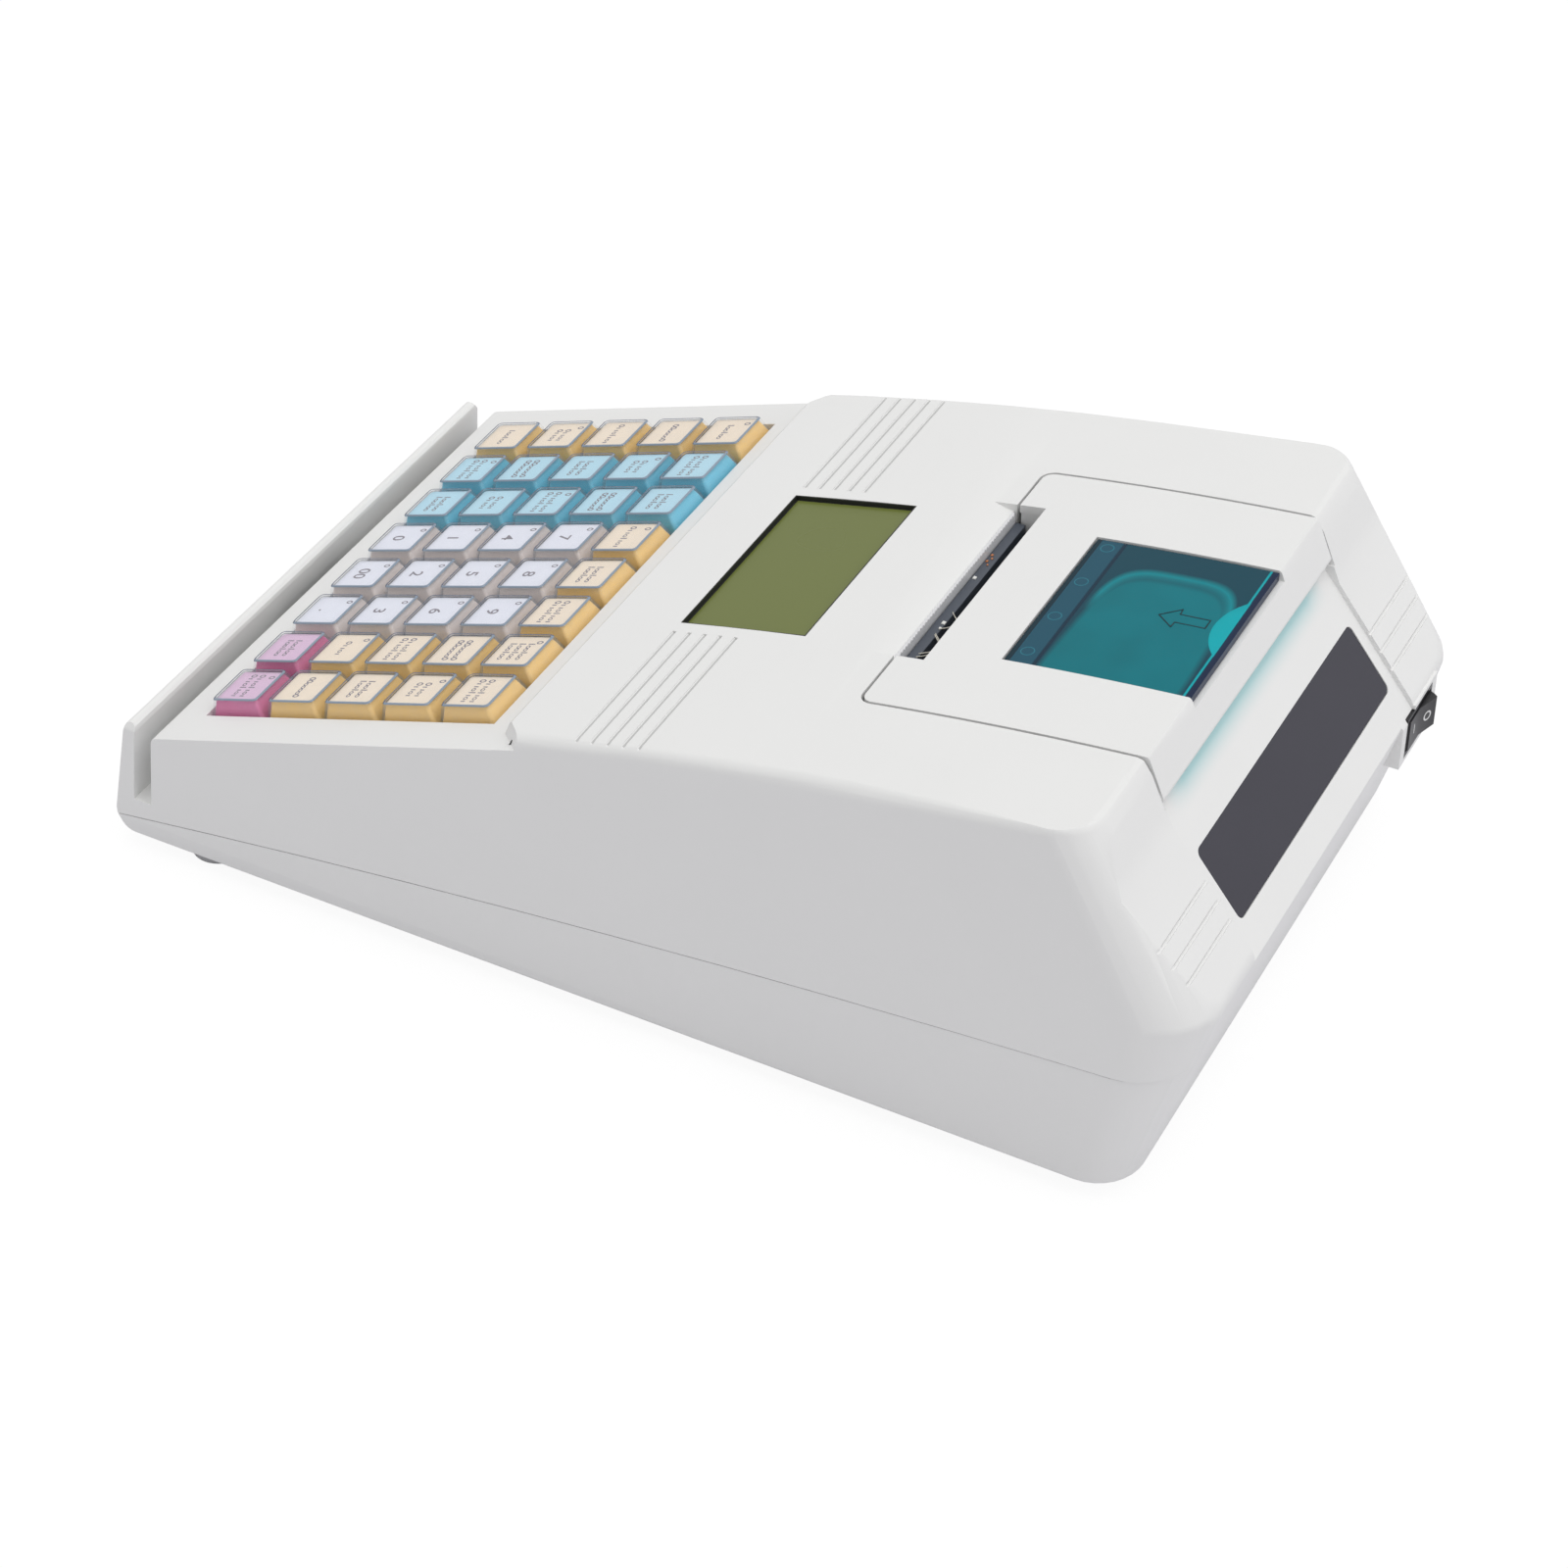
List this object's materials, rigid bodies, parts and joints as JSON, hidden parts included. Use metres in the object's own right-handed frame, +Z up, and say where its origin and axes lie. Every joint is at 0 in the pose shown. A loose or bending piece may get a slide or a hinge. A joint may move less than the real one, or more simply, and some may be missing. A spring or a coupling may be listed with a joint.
{
  "type": "ticket register",
  "caption": "Counter-top ticket register with a card slot along its front, a sloped keyboard, an operator display, a ticket printer under a hinged lid and a customer display.",
  "frame": {"origin": "on the counter, under the middle of the register", "axes": "+X to the operator's right, +Y to the rear towards the customer, +Z up"},
  "size_m": [0.1874, 0.3154, 0.1077],
  "materials": {
    "case_plastic": "off-white moulded, fine satin grain",
    "key_plastic": "clear cover over a coloured key",
    "teal_plastic": "translucent teal, polished",
    "lcd_glass": "olive green behind clear plastic",
    "smoked_plastic": "smoked grey, polished",
    "dark_plastic": "black moulded",
    "gloss_black": "black, satin",
    "grey_plastic": "grey moulded",
    "circuit_board": "green solder mask",
    "blade_steel": "stamped",
    "screw_steel": "zinc plated",
    "dark_metal": "dark coated",
    "roller_rubber": "ground rubber on a shaft",
    "foot_rubber": "moulded rubber"
  },
  "bodies": {
    "case": {"upper_case": "case_plastic", "lower_case": "case_plastic", "rubber_feet": "foot_rubber", "case_screws": "screw_steel", "lcd_window": "lcd_glass", "lcd_module": "circuit_board", "customer_window": "smoked_plastic", "customer_display": "circuit_board", "tear_bar": "blade_steel", "print_frame": "dark_plastic", "thermal_head": "dark_metal", "paper_bucket": "grey_plastic", "main_board": "circuit_board", "key_plate": "dark_plastic", "card_reader": "dark_plastic", "switch_body": "dark_plastic"},
    "printer_lid": {"printer_lid": "case_plastic"},
    "paper_window": {"paper_window": "teal_plastic"},
    "power_rocker": {"power_rocker": "gloss_black"},
    "platen_roller": {"platen_roller": "roller_rubber"},
    "key_r1_c1": {"key_r1_c1": "key_plastic"},
    "key_r1_c2": {"key_r1_c2": "key_plastic"},
    "key_r1_c3": {"key_r1_c3": "key_plastic"},
    "key_r1_c4": {"key_r1_c4": "key_plastic"},
    "key_r1_c5": {"key_r1_c5": "key_plastic"},
    "key_r1_c6": {"key_r1_c6": "key_plastic"},
    "key_r1_c7": {"key_r1_c7": "key_plastic"},
    "key_r1_c8": {"key_r1_c8": "key_plastic"},
    "key_r2_c1": {"key_r2_c1": "key_plastic"},
    "key_r2_c2": {"key_r2_c2": "key_plastic"},
    "key_r2_c3": {"key_r2_c3": "key_plastic"},
    "key_r2_c4": {"key_r2_c4": "key_plastic"},
    "key_r2_c5": {"key_r2_c5": "key_plastic"},
    "key_r2_c6": {"key_r2_c6": "key_plastic"},
    "key_r2_c7": {"key_r2_c7": "key_plastic"},
    "key_r2_c8": {"key_r2_c8": "key_plastic"},
    "key_r3_c1": {"key_r3_c1": "key_plastic"},
    "key_r3_c2": {"key_r3_c2": "key_plastic"},
    "key_r3_c3": {"key_r3_c3": "key_plastic"},
    "key_r3_c4": {"key_r3_c4": "key_plastic"},
    "key_r3_c5": {"key_r3_c5": "key_plastic"},
    "key_r3_c6": {"key_r3_c6": "key_plastic"},
    "key_r3_c7": {"key_r3_c7": "key_plastic"},
    "key_r3_c8": {"key_r3_c8": "key_plastic"},
    "key_r4_c1": {"key_r4_c1": "key_plastic"},
    "key_r4_c2": {"key_r4_c2": "key_plastic"},
    "key_r4_c3": {"key_r4_c3": "key_plastic"},
    "key_r4_c4": {"key_r4_c4": "key_plastic"},
    "key_r4_c5": {"key_r4_c5": "key_plastic"},
    "key_r4_c6": {"key_r4_c6": "key_plastic"},
    "key_r4_c7": {"key_r4_c7": "key_plastic"},
    "key_r4_c8": {"key_r4_c8": "key_plastic"},
    "key_r5_c1": {"key_r5_c1": "key_plastic"},
    "key_r5_c2": {"key_r5_c2": "key_plastic"},
    "key_r5_c3": {"key_r5_c3": "key_plastic"},
    "key_r5_c4": {"key_r5_c4": "key_plastic"},
    "key_r5_c5": {"key_r5_c5": "key_plastic"},
    "key_r5_c6": {"key_r5_c6": "key_plastic"},
    "key_r5_c7": {"key_r5_c7": "key_plastic"},
    "key_r5_c8": {"key_r5_c8": "key_plastic"}
  },
  "joints": [
    {"name": "lid_hinge", "type": "hinge", "parent": "case", "child": "printer_lid", "pos_m": [0, 0.12673, 0.0965], "axis": [-1, 0, 0], "range_deg": [0, 80]},
    {"name": "window_hinge", "type": "hinge", "parent": "printer_lid", "child": "paper_window", "pos_m": [0, 0.0763, 0.1009], "axis": [1, 0, 0], "range_deg": [0, 80]},
    {"name": "rocker_pivot", "type": "hinge", "parent": "case", "child": "power_rocker", "pos_m": [-0.059, 0.15213, 0.0509], "axis": [0, 0, 1], "range_deg": [0, 18]},
    {"name": "platen_shaft", "type": "hinge", "parent": "case", "child": "platen_roller", "pos_m": [0, 0.0617, 0.0886], "axis": [1, 0, 0], "continuous": true},
    {"name": "key_r1_c1_slide", "type": "slide", "parent": "case", "child": "key_r1_c1", "axis": [0, 0.3123, -0.95], "range_m": [0, 0.003], "stiffness_N_per_m": 150, "springref_m": -0.0006},
    {"name": "key_r1_c2_slide", "type": "slide", "parent": "case", "child": "key_r1_c2", "axis": [0, 0.3123, -0.95], "range_m": [0, 0.003], "stiffness_N_per_m": 150, "springref_m": -0.0006},
    {"name": "key_r1_c3_slide", "type": "slide", "parent": "case", "child": "key_r1_c3", "axis": [0, 0.3123, -0.95], "range_m": [0, 0.003], "stiffness_N_per_m": 150, "springref_m": -0.0006},
    {"name": "key_r1_c4_slide", "type": "slide", "parent": "case", "child": "key_r1_c4", "axis": [0, 0.3123, -0.95], "range_m": [0, 0.003], "stiffness_N_per_m": 150, "springref_m": -0.0006},
    {"name": "key_r1_c5_slide", "type": "slide", "parent": "case", "child": "key_r1_c5", "axis": [0, 0.3123, -0.95], "range_m": [0, 0.003], "stiffness_N_per_m": 150, "springref_m": -0.0006},
    {"name": "key_r1_c6_slide", "type": "slide", "parent": "case", "child": "key_r1_c6", "axis": [0, 0.3123, -0.95], "range_m": [0, 0.003], "stiffness_N_per_m": 150, "springref_m": -0.0006},
    {"name": "key_r1_c7_slide", "type": "slide", "parent": "case", "child": "key_r1_c7", "axis": [0, 0.3123, -0.95], "range_m": [0, 0.003], "stiffness_N_per_m": 150, "springref_m": -0.0006},
    {"name": "key_r1_c8_slide", "type": "slide", "parent": "case", "child": "key_r1_c8", "axis": [0, 0.3123, -0.95], "range_m": [0, 0.003], "stiffness_N_per_m": 150, "springref_m": -0.0006},
    {"name": "key_r2_c1_slide", "type": "slide", "parent": "case", "child": "key_r2_c1", "axis": [0, 0.3123, -0.95], "range_m": [0, 0.003], "stiffness_N_per_m": 150, "springref_m": -0.0006},
    {"name": "key_r2_c2_slide", "type": "slide", "parent": "case", "child": "key_r2_c2", "axis": [0, 0.3123, -0.95], "range_m": [0, 0.003], "stiffness_N_per_m": 150, "springref_m": -0.0006},
    {"name": "key_r2_c3_slide", "type": "slide", "parent": "case", "child": "key_r2_c3", "axis": [0, 0.3123, -0.95], "range_m": [0, 0.003], "stiffness_N_per_m": 150, "springref_m": -0.0006},
    {"name": "key_r2_c4_slide", "type": "slide", "parent": "case", "child": "key_r2_c4", "axis": [0, 0.3123, -0.95], "range_m": [0, 0.003], "stiffness_N_per_m": 150, "springref_m": -0.0006},
    {"name": "key_r2_c5_slide", "type": "slide", "parent": "case", "child": "key_r2_c5", "axis": [0, 0.3123, -0.95], "range_m": [0, 0.003], "stiffness_N_per_m": 150, "springref_m": -0.0006},
    {"name": "key_r2_c6_slide", "type": "slide", "parent": "case", "child": "key_r2_c6", "axis": [0, 0.3123, -0.95], "range_m": [0, 0.003], "stiffness_N_per_m": 150, "springref_m": -0.0006},
    {"name": "key_r2_c7_slide", "type": "slide", "parent": "case", "child": "key_r2_c7", "axis": [0, 0.3123, -0.95], "range_m": [0, 0.003], "stiffness_N_per_m": 150, "springref_m": -0.0006},
    {"name": "key_r2_c8_slide", "type": "slide", "parent": "case", "child": "key_r2_c8", "axis": [0, 0.3123, -0.95], "range_m": [0, 0.003], "stiffness_N_per_m": 150, "springref_m": -0.0006},
    {"name": "key_r3_c1_slide", "type": "slide", "parent": "case", "child": "key_r3_c1", "axis": [0, 0.3123, -0.95], "range_m": [0, 0.003], "stiffness_N_per_m": 150, "springref_m": -0.0006},
    {"name": "key_r3_c2_slide", "type": "slide", "parent": "case", "child": "key_r3_c2", "axis": [0, 0.3123, -0.95], "range_m": [0, 0.003], "stiffness_N_per_m": 150, "springref_m": -0.0006},
    {"name": "key_r3_c3_slide", "type": "slide", "parent": "case", "child": "key_r3_c3", "axis": [0, 0.3123, -0.95], "range_m": [0, 0.003], "stiffness_N_per_m": 150, "springref_m": -0.0006},
    {"name": "key_r3_c4_slide", "type": "slide", "parent": "case", "child": "key_r3_c4", "axis": [0, 0.3123, -0.95], "range_m": [0, 0.003], "stiffness_N_per_m": 150, "springref_m": -0.0006},
    {"name": "key_r3_c5_slide", "type": "slide", "parent": "case", "child": "key_r3_c5", "axis": [0, 0.3123, -0.95], "range_m": [0, 0.003], "stiffness_N_per_m": 150, "springref_m": -0.0006},
    {"name": "key_r3_c6_slide", "type": "slide", "parent": "case", "child": "key_r3_c6", "axis": [0, 0.3123, -0.95], "range_m": [0, 0.003], "stiffness_N_per_m": 150, "springref_m": -0.0006},
    {"name": "key_r3_c7_slide", "type": "slide", "parent": "case", "child": "key_r3_c7", "axis": [0, 0.3123, -0.95], "range_m": [0, 0.003], "stiffness_N_per_m": 150, "springref_m": -0.0006},
    {"name": "key_r3_c8_slide", "type": "slide", "parent": "case", "child": "key_r3_c8", "axis": [0, 0.3123, -0.95], "range_m": [0, 0.003], "stiffness_N_per_m": 150, "springref_m": -0.0006},
    {"name": "key_r4_c1_slide", "type": "slide", "parent": "case", "child": "key_r4_c1", "axis": [0, 0.3123, -0.95], "range_m": [0, 0.003], "stiffness_N_per_m": 150, "springref_m": -0.0006},
    {"name": "key_r4_c2_slide", "type": "slide", "parent": "case", "child": "key_r4_c2", "axis": [0, 0.3123, -0.95], "range_m": [0, 0.003], "stiffness_N_per_m": 150, "springref_m": -0.0006},
    {"name": "key_r4_c3_slide", "type": "slide", "parent": "case", "child": "key_r4_c3", "axis": [0, 0.3123, -0.95], "range_m": [0, 0.003], "stiffness_N_per_m": 150, "springref_m": -0.0006},
    {"name": "key_r4_c4_slide", "type": "slide", "parent": "case", "child": "key_r4_c4", "axis": [0, 0.3123, -0.95], "range_m": [0, 0.003], "stiffness_N_per_m": 150, "springref_m": -0.0006},
    {"name": "key_r4_c5_slide", "type": "slide", "parent": "case", "child": "key_r4_c5", "axis": [0, 0.3123, -0.95], "range_m": [0, 0.003], "stiffness_N_per_m": 150, "springref_m": -0.0006},
    {"name": "key_r4_c6_slide", "type": "slide", "parent": "case", "child": "key_r4_c6", "axis": [0, 0.3123, -0.95], "range_m": [0, 0.003], "stiffness_N_per_m": 150, "springref_m": -0.0006},
    {"name": "key_r4_c7_slide", "type": "slide", "parent": "case", "child": "key_r4_c7", "axis": [0, 0.3123, -0.95], "range_m": [0, 0.003], "stiffness_N_per_m": 150, "springref_m": -0.0006},
    {"name": "key_r4_c8_slide", "type": "slide", "parent": "case", "child": "key_r4_c8", "axis": [0, 0.3123, -0.95], "range_m": [0, 0.003], "stiffness_N_per_m": 150, "springref_m": -0.0006},
    {"name": "key_r5_c1_slide", "type": "slide", "parent": "case", "child": "key_r5_c1", "axis": [0, 0.3123, -0.95], "range_m": [0, 0.003], "stiffness_N_per_m": 150, "springref_m": -0.0006},
    {"name": "key_r5_c2_slide", "type": "slide", "parent": "case", "child": "key_r5_c2", "axis": [0, 0.3123, -0.95], "range_m": [0, 0.003], "stiffness_N_per_m": 150, "springref_m": -0.0006},
    {"name": "key_r5_c3_slide", "type": "slide", "parent": "case", "child": "key_r5_c3", "axis": [0, 0.3123, -0.95], "range_m": [0, 0.003], "stiffness_N_per_m": 150, "springref_m": -0.0006},
    {"name": "key_r5_c4_slide", "type": "slide", "parent": "case", "child": "key_r5_c4", "axis": [0, 0.3123, -0.95], "range_m": [0, 0.003], "stiffness_N_per_m": 150, "springref_m": -0.0006},
    {"name": "key_r5_c5_slide", "type": "slide", "parent": "case", "child": "key_r5_c5", "axis": [0, 0.3123, -0.95], "range_m": [0, 0.003], "stiffness_N_per_m": 150, "springref_m": -0.0006},
    {"name": "key_r5_c6_slide", "type": "slide", "parent": "case", "child": "key_r5_c6", "axis": [0, 0.3123, -0.95], "range_m": [0, 0.003], "stiffness_N_per_m": 150, "springref_m": -0.0006},
    {"name": "key_r5_c7_slide", "type": "slide", "parent": "case", "child": "key_r5_c7", "axis": [0, 0.3123, -0.95], "range_m": [0, 0.003], "stiffness_N_per_m": 150, "springref_m": -0.0006},
    {"name": "key_r5_c8_slide", "type": "slide", "parent": "case", "child": "key_r5_c8", "axis": [0, 0.3123, -0.95], "range_m": [0, 0.003], "stiffness_N_per_m": 150, "springref_m": -0.0006}
  ]
}
